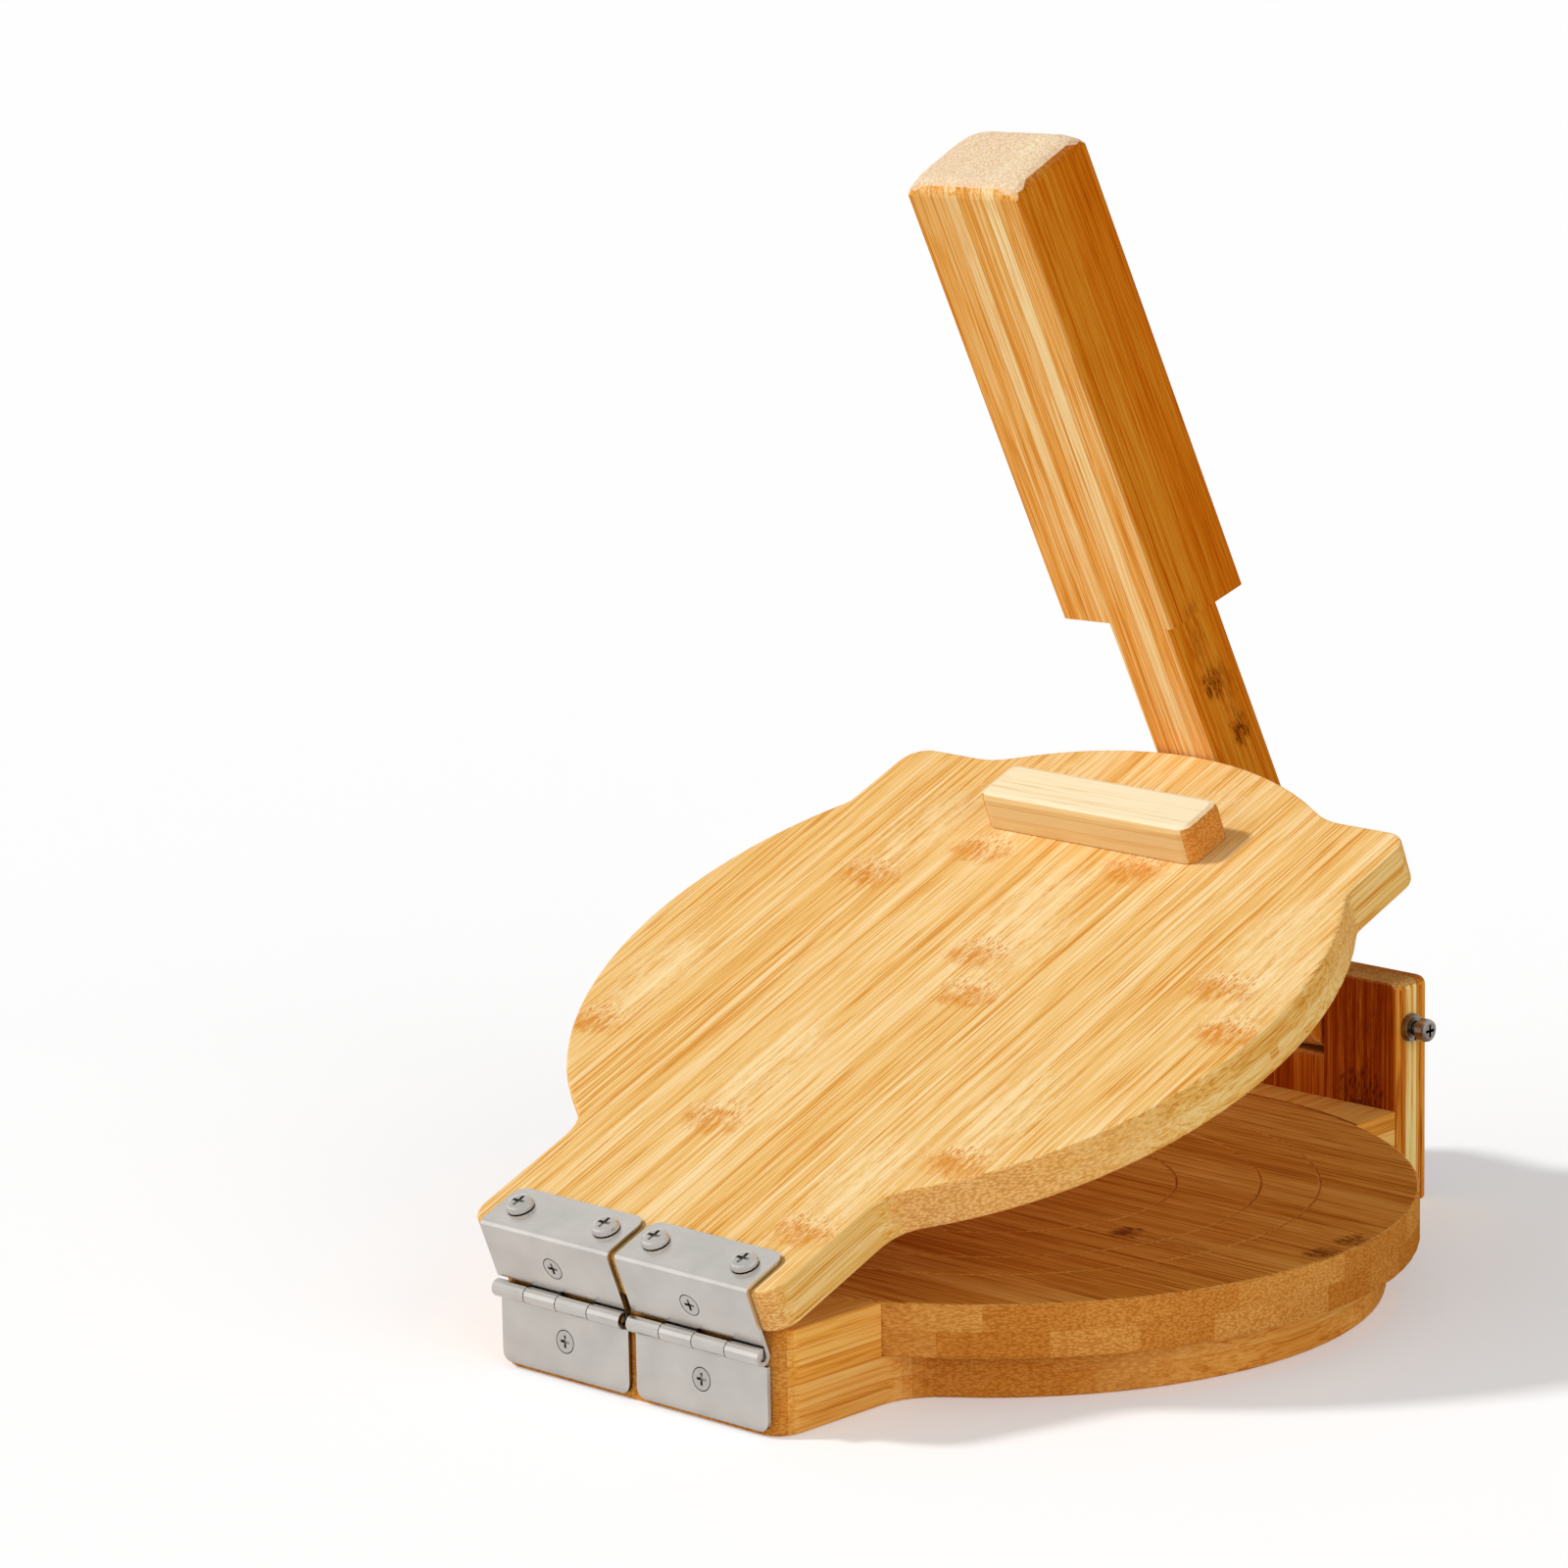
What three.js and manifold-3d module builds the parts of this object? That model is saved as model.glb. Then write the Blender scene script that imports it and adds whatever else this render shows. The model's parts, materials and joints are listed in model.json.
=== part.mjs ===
// A bamboo tortilla press. Dough is laid on a round press disc, a hinged lid comes down on it,
// and a lever in a forked upright bears on the bar across the lid. Sizes are millimetres, +Z is up.
// The origin is the centre of the round boards, on the underside of the base. The hinges are at
// -Y and the lever stands at +Y.

import * as THREE from 'three';
import { mergeVertices } from 'three/addons/utils/BufferGeometryUtils.js';
import Module from 'manifold-3d';

const wasm = await Module();
wasm.setup();

// Pose shown, in degrees. The lever is loose in its fork and leans a little to the left.
const lidOpening = 21.7;
const leverLean = 2.6;

// Base and press disc. The other boards take their size from the disc.
const baseThickness = 14.5;
const pressThickness = 16;
const pressRadius = 125;
const baseInset = 10;
const seamGap = 0.3;
const woodRounding = 0.9;
const innerRing = 53;
const middleRing = 78;
const outerRing = 95.5;
const grooveWidth = 1;
const grooveDepth = 0.5;

// Hinge end. The lid's tab is a little wider than the tab of the base.
const hingeBlockDepth = 28.3;
const baseTabWidth = 112;
const lidTabWidth = 120;
const tabCornerRadius = 8;
const baseTabFillet = 20;

// Lid with its two lifting ears
const lidThickness = 13.8;
const lidInset = 6.7;
const lidTabFillet = 14;
const lidGap = 0.3;
const earSideInset = 20.3;
const earBackInset = 19.6;
const earCornerRadius = 8;
const earSideFillet = 6;
const earBackFillet = 22;

// Bar across the lid, which the lever bears on
const barLength = 82.5;
const barDepth = 18;
const barHeight = 12;
const barInset = 52.6;
const barCornerRadius = 4;
const barRounding = 2;
const glueGap = 0.3;

// Forked upright at the lever end
const yokeBlockDepth = 11.9;
const uprightThickness = 16;
const uprightWidth = 83;
const uprightHeight = 71;
const uprightCornerRadius = 3;
const uprightRounding = 1.8;
const yokeFillet = 12;
const forkSideClearance = 1.1;
const forkFloorClearance = 0.6;

// Lever: a narrow arm in the fork and a wide grip above it
const pivotHeight = 56;
const pivotInset = 7.3;
const armWidth = 24;
const armDepth = 23;
const gripWidth = 44.3;
const gripDepth = 34.2;
const gripSideStep = 1.9;
const gripStart = 148.4;
const gripShoulderDrop = 5;
const leverReach = 300.7;
const armRounding = 1.4;
const gripCornerRadius = 1.6;
const gripEndRounding = 4.4;
const gripEndCornerRadius = 10.5;
const leverRestGap = 0.6;

// Pivot bolt with its washers and nut
const boltRadius = 2;
const boltClearance = 0.3;
const boltHeadRadius = 3.6;
const boltHeadHeight = 3.4;
const boltHeadRounding = 1;
const boltSlack = 2.3;
const boltTail = 1.6;
const washerRadius = 4.5;
const washerThickness = 1;
const springWasherRadius = 4.2;
const springWasherThickness = 1.2;
const springWasherSplit = 0.9;
const nutAcrossFlats = 7;
const nutThickness = 3.2;

// Two butt hinges of folded sheet with rolled knuckles
const hingeLength = 51;
const hingeSpacing = 3;
const hingeAxisHeight = 24;
const sheetThickness = 1.2;
const sheetGap = 0.3;
const pinRadius = 1.3;
const pinClearance = 0.1;
const pinRecess = 0.8;
const knuckleGap = 0.3;
const knuckleNotch = 0.6;
const bendRadius = 0.8;
const flangeDepth = 18;
const flangeCornerRadius = 4;
const leafCornerRadius = 3;
const leafFootHeight = 1.8;
const knucklesPerHinge = 4;
const rollTurnDegrees = 290;

// Screws
const screwClearance = 0.3;
const screwPointLength = 3;
const flangeScrewSpacing = 34.4;
const panHeadRadius = 4.1;
const panHeadHeight = 2.2;
const panHeadRounding = 1.4;
const panShankRadius = 1.6;
const panLength = 12;
const leafHeadRadius = 3.3;
const leafHeadLand = 0.2;
const leafShankRadius = 1.4;
const leafScrewLength = 16;
const lowerScrewShare = 0.527;
const boardHeadRadius = 3.8;
const boardHeadLand = 0.3;
const boardShankRadius = 1.9;
const boardScrewLength = 25;
const boardHeadRecess = 0.3;
const screwTipClearance = 1.5;
const pressScrewInset = 39;
const blockScrewEdge = 18;
const blockScrewInset = 13;
const uprightScrewSpread = 54;
const crossLengthShare = 0.56;
const crossWidthShare = 0.13;
const crossDepthShare = 0.5;

// Fineness: how far a facet may leave its arc, and how far a cutter runs past a face
const facetError = 0.08;
const coarsestFacetShare = 0.2;
const overrun = 1;
const roundingSteps = 2;
const gripCornerSteps = 3;
const turnedSegments = 16;
const discSegments = 80;

// Sizes that follow from the ones above
const pressTop = baseThickness + pressThickness;
const lidBottom = pressTop + lidGap;
const baseRadius = pressRadius - baseInset;
const lidRadius = pressRadius - lidInset;
const hingeReach = pressRadius + hingeBlockDepth;
const uprightReach = pressRadius + yokeBlockDepth;
const barReach = lidRadius - barInset;
const baseTabHalf = baseTabWidth / 2;
const lidTabHalf = lidTabWidth / 2;
const earHalf = lidRadius - earSideInset;
const earReach = lidRadius - earBackInset;
const yokeHalf = uprightWidth / 2;
const pivotReach = uprightReach + pivotInset;
const uprightBack = uprightReach + uprightThickness;
const knuckleBore = pinRadius + pinClearance;
const knuckleRadius = knuckleBore + sheetThickness;
const hingeAxisReach = hingeReach + sheetGap + knuckleRadius;
const notchReach = knuckleRadius + knuckleNotch;
const forkWidth = armWidth + 2 * forkSideClearance;
const forkFloor = pivotHeight - armDepth / 2 - forkFloorClearance;
const hingeCentre = (hingeSpacing + hingeLength) / 2;

const HALF_TURN = Math.PI;
const QUARTER_TURN = Math.PI / 2;
const OUTWARD = {
  up: new THREE.Vector3(0, 0, 1),
  down: new THREE.Vector3(0, 0, -1),
  front: new THREE.Vector3(0, -1, 0),
  back: new THREE.Vector3(0, 1, 0),
};

const finishes = {
  lid: new THREE.MeshStandardMaterial({ color: 0xe3bd80, roughness: 0.5, metalness: 0 }),
  board: new THREE.MeshStandardMaterial({ color: 0xcc965a, roughness: 0.5, metalness: 0 }),
  lever: new THREE.MeshStandardMaterial({ color: 0xd09245, roughness: 0.5, metalness: 0 }),
  bar: new THREE.MeshStandardMaterial({ color: 0xebd2a2, roughness: 0.5, metalness: 0 }),
  sheet: new THREE.MeshStandardMaterial({ color: 0xb9b7b4, roughness: 0.35, metalness: 1 }),
  screw: new THREE.MeshStandardMaterial({ color: 0xc6c4c0, roughness: 0.28, metalness: 1 }),
};

// Closed solids

// One index per corner and no collapsed triangles, as a solid needs.
function welded(geometry) {
  const bare = new THREE.BufferGeometry();
  bare.setAttribute('position', geometry.getAttribute('position').clone());
  if (geometry.index) bare.setIndex(geometry.index);
  const merged = mergeVertices(bare);
  const kept = [];
  for (let i = 0; i < merged.index.count; i += 3) {
    const [a, b, c] = [0, 1, 2].map((k) => merged.index.getX(i + k));
    if (a !== b && b !== c && c !== a) kept.push(a, b, c);
  }
  merged.setIndex(kept);
  return merged;
}

function toSolid(geometry) {
  const { index, attributes } = welded(geometry);
  return new wasm.Manifold(new wasm.Mesh({
    numProp: 3,
    vertProperties: new Float32Array(attributes.position.array),
    triVerts: new Uint32Array(index.array),
  }));
}

function fromSolid(solid) {
  const mesh = solid.getMesh();
  const geometry = new THREE.BufferGeometry();
  geometry.setAttribute('position', new THREE.BufferAttribute(mesh.vertProperties, mesh.numProp));
  geometry.setIndex(new THREE.BufferAttribute(mesh.triVerts, 1));
  geometry.computeVertexNormals();
  return geometry;
}

function joined(...pieces) {
  return fromSolid(pieces.map(toSolid).reduce((whole, piece) => whole.add(piece)));
}

function cut(blank, ...cutters) {
  const solid = cutters.map(toSolid).reduce((rest, cutter) => rest.subtract(cutter), toSolid(blank));
  return fromSolid(solid);
}

// Outlines

function arcSteps(radius, sweep) {
  const step = 2 * Math.acos(1 - Math.min(facetError / radius, coarsestFacetShare));
  return Math.max(2, Math.ceil(Math.abs(sweep) / step));
}

function arc(x, y, radius, from, to, count = arcSteps(radius, to - from)) {
  return Array.from({ length: count + 1 }, (_, i) => {
    const angle = from + ((to - from) * i) / count;
    return new THREE.Vector2(x + radius * Math.cos(angle), y + radius * Math.sin(angle));
  });
}

// The right half of an outline, drawn from bottom to top, and its mirror image on the left.
function mirrored(half) {
  const left = half.map((p) => new THREE.Vector2(-p.x, p.y)).reverse();
  return withoutRepeats([...half, ...left]);
}

function withoutRepeats(points) {
  return points.filter((p, i) => p.distanceTo(points[(i + 1) % points.length]) > facetError / 100);
}

function roundedRectangle(width, depth, radius, steps) {
  const x = width / 2 - radius;
  const y = depth / 2 - radius;
  return [
    ...arc(x, -y, radius, -QUARTER_TURN, 0, steps),
    ...arc(x, y, radius, 0, QUARTER_TURN, steps),
    ...arc(-x, y, radius, QUARTER_TURN, HALF_TURN, steps),
    ...arc(-x, -y, radius, HALF_TURN, HALF_TURN + QUARTER_TURN, steps),
  ];
}

// The hinge tab's corner, its side and the hollow fillet that runs into the disc.
function tabSide(discRadius, half, fillet) {
  const across = half + fillet;
  const along = -Math.sqrt((discRadius + fillet) ** 2 - across ** 2);
  return [
    ...arc(half - tabCornerRadius, tabCornerRadius - hingeReach, tabCornerRadius, -QUARTER_TURN, 0),
    ...arc(across, along, fillet, HALF_TURN, Math.atan2(-along, -across)),
  ];
}

// Where a fillet beside a line at x = half touches the disc, as an angle, with the fillet itself.
function sideFillet(discRadius, half, fillet) {
  const across = half + fillet;
  const along = Math.sqrt((discRadius + fillet) ** 2 - across ** 2);
  const angle = Math.atan2(along, across);
  return { angle, points: arc(across, along, fillet, HALF_TURN + angle, HALF_TURN) };
}

function tabAngle(discRadius, half, fillet) {
  return -Math.acos((half + fillet) / (discRadius + fillet));
}

function baseOutline() {
  const yoke = sideFillet(baseRadius, yokeHalf, yokeFillet);
  return mirrored([
    ...tabSide(baseRadius, baseTabHalf, baseTabFillet),
    ...arc(0, 0, baseRadius, tabAngle(baseRadius, baseTabHalf, baseTabFillet), yoke.angle),
    ...yoke.points,
    new THREE.Vector2(yokeHalf, uprightReach),
  ]);
}

function lidOutline() {
  const side = sideFillet(lidRadius, earHalf, earSideFillet);
  const backY = earReach + earBackFillet;
  const backX = Math.sqrt((lidRadius + earBackFillet) ** 2 - backY ** 2);
  const backAngle = Math.atan2(backY, backX);
  const ear = { x: earHalf - earCornerRadius, y: earReach - earCornerRadius };
  return mirrored([
    ...tabSide(lidRadius, lidTabHalf, lidTabFillet),
    ...arc(0, 0, lidRadius, tabAngle(lidRadius, lidTabHalf, lidTabFillet), side.angle),
    ...side.points,
    ...arc(ear.x, ear.y, earCornerRadius, 0, QUARTER_TURN),
    ...arc(backX, backY, earBackFillet, -QUARTER_TURN, backAngle - HALF_TURN),
    ...arc(0, 0, lidRadius, backAngle, QUARTER_TURN),
  ]);
}

// The two filler blocks end in an arc that follows the rim of the press disc.
function rimArc(half) {
  const radius = pressRadius + seamGap;
  return arc(0, 0, radius, -Math.acos(half / radius), -QUARTER_TURN);
}

function hingeBlockOutline() {
  const corner = { x: baseTabHalf - tabCornerRadius, y: tabCornerRadius - hingeReach };
  return mirrored([
    ...arc(corner.x, corner.y, tabCornerRadius, -QUARTER_TURN, 0),
    ...rimArc(baseTabHalf),
  ]);
}

function yokeBlockOutline() {
  const rim = rimArc(yokeHalf).map((p) => new THREE.Vector2(p.x, -p.y)).reverse();
  return mirrored([...rim, new THREE.Vector2(yokeHalf, uprightReach)]);
}

function uprightOutline() {
  const x = yokeHalf - uprightCornerRadius;
  const y = uprightHeight - uprightCornerRadius;
  return mirrored([
    new THREE.Vector2(yokeHalf, 0),
    ...arc(x, y, uprightCornerRadius, 0, QUARTER_TURN),
    new THREE.Vector2(forkWidth / 2, uprightHeight),
    new THREE.Vector2(forkWidth / 2, forkFloor),
  ]);
}

// Boards and blocks

// An outline moved inwards by the same distance everywhere.
function inset(outline, distance) {
  const count = outline.length;
  return outline.map((point, i) => {
    const before = point.clone().sub(outline[(i + count - 1) % count]).normalize();
    const after = outline[(i + 1) % count].clone().sub(point).normalize();
    const square = 1 + before.dot(after);
    const outX = (before.y + after.y) / square;
    const outY = -(before.x + after.x) / square;
    return new THREE.Vector2(point.x - outX * distance, point.y - outY * distance);
  });
}

// A closed skin over rings of equal length, each a list of points and its height.
function skinned(rings) {
  const count = rings[0].points.length;
  const positions = rings.flatMap(({ points, z }) => points.flatMap((p) => [p.x, p.y, z]));
  const faces = [];
  for (let ring = 0; ring + 1 < rings.length; ring += 1) {
    for (let i = 0; i < count; i += 1) {
      const a = ring * count + i;
      const b = ring * count + ((i + 1) % count);
      faces.push(a, b, b + count, a, b + count, a + count);
    }
  }
  const last = (rings.length - 1) * count;
  for (const [a, b, c] of THREE.ShapeUtils.triangulateShape(rings[0].points, [])) faces.push(a, c, b);
  for (const [a, b, c] of THREE.ShapeUtils.triangulateShape(rings.at(-1).points, [])) {
    faces.push(last + a, last + b, last + c);
  }
  const geometry = new THREE.BufferGeometry();
  geometry.setAttribute('position', new THREE.Float32BufferAttribute(positions, 3));
  geometry.setIndex(faces);
  return geometry;
}

// A board of constant outline between two heights, with each rim rounded by its own radius.
function board(outline, bottom, top, bottomRounding = 0, topRounding = 0) {
  const rims = [];
  const rim = (radius, height, sign) => {
    const steps = radius > 0 ? roundingSteps : 0;
    return Array.from({ length: steps + 1 }, (_, i) => {
      const angle = steps ? (QUARTER_TURN * i) / steps : 0;
      const depth = radius * (1 - Math.sin(angle));
      const z = height + sign * radius * (1 - Math.cos(angle));
      return { points: depth > 0 ? inset(outline, depth) : outline, z };
    });
  };
  rims.push(...rim(bottomRounding, bottom, 1), ...rim(topRounding, top, -1).reverse());
  return skinned(rims);
}

// Turns a board drawn in XY so that its outline lies in XZ and its height runs along -Y.
function standing(geometry) {
  return geometry.rotateX(QUARTER_TURN);
}

// Turns a board drawn in XY so that its outline lies in YZ and its height runs along X.
function acrossX(geometry) {
  const y = new THREE.Vector3(0, 1, 0);
  const z = new THREE.Vector3(0, 0, 1);
  const x = new THREE.Vector3(1, 0, 0);
  return geometry.applyMatrix4(new THREE.Matrix4().makeBasis(y, z, x));
}

function box(width, depth, height) {
  return new THREE.BoxGeometry(width, depth, height);
}

// Turned pieces

// A solid of revolution about Z, from points of radius and height drawn upwards.
function turned(profile, segments = turnedSegments) {
  return new THREE.LatheGeometry(profile, segments).rotateX(QUARTER_TURN);
}

function rod(radius, bottom, top) {
  return turned(points([[0, bottom], [radius, bottom], [radius, top], [0, top]]));
}

function grooveAt(radius) {
  const half = grooveWidth / 2;
  return [[radius + half, pressTop], [radius, pressTop - grooveDepth], [radius - half, pressTop]];
}

function pressDiscBlank() {
  const edge = pressRadius - woodRounding;
  const profile = [
    ...points([[0, baseThickness], [edge, baseThickness]]),
    ...arc(edge, baseThickness + woodRounding, woodRounding, -QUARTER_TURN, 0),
    ...arc(edge, pressTop - woodRounding, woodRounding, 0, QUARTER_TURN),
    ...points([outerRing, middleRing, innerRing].flatMap(grooveAt)),
    new THREE.Vector2(0, pressTop),
  ];
  return turned(withoutRepeats(profile), discSegments);
}

// Screws. Each is drawn with its seat at z = 0 and its shank pointing down.

const panScrew = {
  headRadius: panHeadRadius, headHeight: panHeadHeight, headRounding: panHeadRounding,
  shankRadius: panShankRadius, pointLength: screwPointLength, length: panLength,
};
const leafScrew = {
  headRadius: leafHeadRadius, land: leafHeadLand, shankRadius: leafShankRadius,
  pointLength: screwPointLength, length: leafScrewLength,
};
const boardScrew = {
  headRadius: boardHeadRadius, land: boardHeadLand, shankRadius: boardShankRadius,
  pointLength: screwPointLength, length: boardScrewLength,
};

function points(corners) {
  return corners.map(([x, y]) => new THREE.Vector2(x, y));
}

function roundHead({ headRadius, headHeight, headRounding, shankRadius }) {
  const x = headRadius - headRounding;
  const z = headHeight - headRounding;
  return [
    ...points([[shankRadius, 0], [headRadius, 0]]),
    ...arc(x, z, headRounding, 0, QUARTER_TURN),
    new THREE.Vector2(0, headHeight),
  ];
}

function sunkHead({ headRadius, land, shankRadius }) {
  return points([[shankRadius, shankRadius - headRadius - land], [headRadius, -land], [headRadius, 0],
    [0, 0]]);
}

function shank({ shankRadius, pointLength, length }) {
  if (!pointLength) return points([[0, -length], [shankRadius, -length]]);
  return points([[0, -length], [shankRadius, pointLength - length]]);
}

function crossRecess(radius, top, height) {
  const length = 2 * radius * crossLengthShare;
  const width = 2 * radius * crossWidthShare;
  const depth = 2 * height * crossDepthShare;
  return joined(box(length, width, depth), box(width, length, depth)).translate(0, 0, top);
}

function screwBody(spec) {
  const { headRadius, headHeight, shankRadius } = spec;
  const profile = [...shank(spec), ...(headHeight ? roundHead(spec) : sunkHead(spec))];
  const recess = crossRecess(headRadius, headHeight ?? 0, headHeight ?? headRadius - shankRadius);
  return cut(turned(profile), recess);
}

// The hole that a screw leaves: its own outline with a little room all round.
function screwHole({ headRadius, headHeight, land, shankRadius, length }) {
  const shankHole = shankRadius + screwClearance;
  const bottom = -length - screwClearance;
  const corners = [[0, bottom], [shankHole, bottom]];
  if (headHeight) return turned(points([...corners, [shankHole, overrun], [0, overrun]]));
  const headHole = headRadius + screwClearance;
  const cone = [[shankHole, shankHole - headHole - land], [headHole, -land]];
  return turned(points([...corners, ...cone, [headHole, overrun], [0, overrun]]));
}

function poseOf({ at, outward }) {
  const turn = new THREE.Quaternion().setFromUnitVectors(OUTWARD.up, outward);
  return new THREE.Matrix4().compose(at, turn, new THREE.Vector3(1, 1, 1));
}

function holeFor(fixing) {
  return screwHole(fixing.spec).applyMatrix4(poseOf(fixing));
}

function screwMesh(fixing) {
  const mesh = part(fixing.name, screwBody(fixing.spec), finishes.screw);
  mesh.applyMatrix4(poseOf(fixing));
  return mesh;
}

function part(name, geometry, material) {
  const mesh = new THREE.Mesh(fromSolid(toSolid(geometry)), material);
  mesh.name = name;
  return mesh;
}

// Places of the fixings. Those of the base are measured from the origin, those of the lid from
// the hinge axis.

const sides = [['left', -1], ['right', 1]];

// Four screws hold the press disc from below, and two hold the hinge block.
function baseScrews() {
  const seat = boardHeadRecess;
  const spread = (pressRadius - pressScrewInset) * Math.SQRT1_2;
  const disc = [[1, 1], [-1, 1], [-1, -1], [1, -1]].map(([x, y], i) => ({
    name: `disc_screw_${i + 1}`,
    at: new THREE.Vector3(x * spread, y * spread, seat),
  }));
  const block = sides.map(([side, sign]) => ({
    name: `hinge_block_screw_${side}`,
    at: new THREE.Vector3(sign * (baseTabHalf - blockScrewEdge), blockScrewInset - hingeReach, seat),
  }));
  return [...disc, ...block].map((s) => ({ ...s, spec: boardScrew, outward: OUTWARD.down }));
}

// Two screws through the upright run into the base and two into the yoke block.
function uprightScrews() {
  const x = uprightScrewSpread / 2;
  const blockDepth = uprightReach - Math.sqrt((pressRadius + seamGap) ** 2 - x ** 2);
  const rows = [
    ['lower', baseThickness / 2, uprightThickness + boardScrewLength],
    ['upper', baseThickness + pressThickness / 2, uprightThickness + blockDepth - screwTipClearance],
  ];
  return rows.flatMap(([row, z, length]) => sides.map(([side, sign]) => ({
    name: `upright_screw_${row}_${side}`,
    at: new THREE.Vector3(sign * x, uprightBack, z),
    spec: { ...boardScrew, length },
    outward: OUTWARD.back,
  })));
}

const hingeFront = -hingeAxisReach + knuckleBore;
const lowerLeafHeight = hingeAxisHeight - leafFootHeight;

function lowerLeafScrew([side, sign]) {
  const z = hingeAxisHeight - lowerLeafHeight * lowerScrewShare;
  const at = new THREE.Vector3(sign * hingeCentre, hingeFront, z);
  return { name: `hinge_${side}_lower_screw`, at, spec: leafScrew, outward: OUTWARD.front };
}

// In the lid's own frame the closed lid's underside is this far above the hinge axis.
const lidRise = lidBottom - hingeAxisHeight;
const lidSurface = lidRise + lidThickness;
const flangeBottom = lidSurface + sheetGap;
const flangeTop = flangeBottom + sheetThickness;
const flangeEnd = knuckleBore + flangeDepth;

function upperLeafScrew([side, sign]) {
  const at = new THREE.Vector3(sign * hingeCentre, knuckleBore, flangeTop / 2);
  return { name: `hinge_${side}_upper_screw`, at, spec: leafScrew, outward: OUTWARD.front };
}

function flangeScrews([side, sign]) {
  const y = (knuckleRadius + flangeEnd) / 2;
  return [['outer', 1], ['inner', -1]].map(([name, away]) => ({
    name: `hinge_${side}_flange_screw_${name}`,
    at: new THREE.Vector3(sign * (hingeCentre + (away * flangeScrewSpacing) / 2), y, flangeTop + sheetGap),
    spec: panScrew,
    outward: OUTWARD.up,
  }));
}

// Hinges

// Knuckles are numbered from the left. Even ones belong to the lower leaf, odd ones to the upper.
function knuckleColumns(centre, first) {
  const pitch = hingeLength / knucklesPerHinge;
  const columns = [];
  for (let i = first; i < knucklesPerHinge; i += 2) {
    const left = centre - hingeLength / 2 + i * pitch;
    const from = i === 0 ? left : left + knuckleGap / 2;
    const to = i === knucklesPerHinge - 1 ? left + pitch : left + pitch - knuckleGap / 2;
    columns.push([from, to]);
  }
  return columns;
}

// The end of a leaf rolled round the pin, in the plane across the axis. The sheet meets it at the
// side, and upwards is 1 for the lower leaf and -1 for the upper one.
function rollOutline(upwards) {
  const turn = THREE.MathUtils.degToRad(rollTurnDegrees) * upwards;
  const outer = arc(0, 0, knuckleRadius, 0, turn);
  const inner = arc(0, 0, knuckleBore, turn, 0);
  const start = -upwards * (notchReach + overrun);
  const loop = [
    new THREE.Vector2(knuckleRadius, start), ...outer, ...inner, new THREE.Vector2(knuckleBore, start),
  ];
  return upwards > 0 ? loop : loop.reverse();
}

function rolls(centre, first, upwards) {
  const outline = rollOutline(upwards);
  return knuckleColumns(centre, first).map(([from, to]) => acrossX(board(outline, from, to)));
}

// A flat plate with its two lower corners rounded, up to the notches for the other leaf's knuckles.
function lowerLeaf([, sign]) {
  const centre = sign * hingeCentre;
  const half = hingeLength / 2;
  const foot = leafCornerRadius - lowerLeafHeight;
  const outline = mirrored([
    ...arc(half - leafCornerRadius, foot, leafCornerRadius, -QUARTER_TURN, 0),
    new THREE.Vector2(half, -notchReach),
  ]);
  const plate = standing(board(outline, -knuckleRadius, -knuckleBore)).translate(centre, 0, 0);
  const leaf = joined(plate, ...rolls(centre, 0, 1));
  return cut(leaf.translate(0, -hingeAxisReach, hingeAxisHeight), holeFor(lowerLeafScrew(['', sign])));
}

// The upper leaf goes up the lid's front edge and is bent over onto its top.
function upperLeafOutline() {
  const bendZ = flangeBottom - bendRadius;
  const bendY = knuckleRadius + bendRadius;
  return [
    new THREE.Vector2(knuckleRadius, notchReach),
    ...arc(bendY, bendZ, bendRadius, HALF_TURN, QUARTER_TURN),
    new THREE.Vector2(flangeEnd, flangeBottom),
    new THREE.Vector2(flangeEnd, flangeTop),
    ...arc(bendY, bendZ, bendRadius + sheetThickness, QUARTER_TURN, HALF_TURN),
    new THREE.Vector2(knuckleBore, notchReach),
  ];
}

// What rounding takes off a square corner at the origin, between the axes +X and +Y.
function cornerWaste(radius, bottom, top) {
  const outline = [
    new THREE.Vector2(-overrun, -overrun),
    new THREE.Vector2(radius, -overrun),
    ...arc(radius, radius, radius, -QUARTER_TURN, -HALF_TURN),
    new THREE.Vector2(-overrun, radius),
  ];
  return board(withoutRepeats(outline), bottom, top);
}

function upperLeaf([, sign]) {
  const centre = sign * hingeCentre;
  const half = hingeLength / 2;
  const sheet = acrossX(board(upperLeafOutline(), centre - half, centre + half));
  const waste = () => cornerWaste(flangeCornerRadius, flangeBottom - overrun, flangeTop + overrun);
  const corners = [
    waste().rotateZ(HALF_TURN).translate(centre + half, flangeEnd, 0),
    waste().rotateZ(-QUARTER_TURN).translate(centre - half, flangeEnd, 0),
  ];
  const holes = [upperLeafScrew(['', sign]), ...flangeScrews(['', sign])].map(holeFor);
  return cut(joined(sheet, ...rolls(centre, 1, -1)), ...corners, ...holes);
}

function hingePin([side, sign]) {
  const half = hingeLength / 2 - pinRecess;
  const pin = part(`hinge_${side}_pin`, rod(pinRadius, -half, half), finishes.screw);
  pin.rotation.y = QUARTER_TURN;
  pin.position.set(sign * hingeCentre, -hingeAxisReach, hingeAxisHeight);
  return pin;
}

// Base

function pivotHole() {
  const half = yokeHalf + overrun;
  return rod(boltRadius + boltClearance, -half, half).rotateY(QUARTER_TURN);
}

function upright() {
  const blank = board(uprightOutline(), -uprightBack, -uprightReach, uprightRounding, woodRounding);
  const hole = pivotHole().translate(0, pivotReach, pivotHeight);
  return cut(standing(blank), hole, ...uprightScrews().map(holeFor));
}

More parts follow.
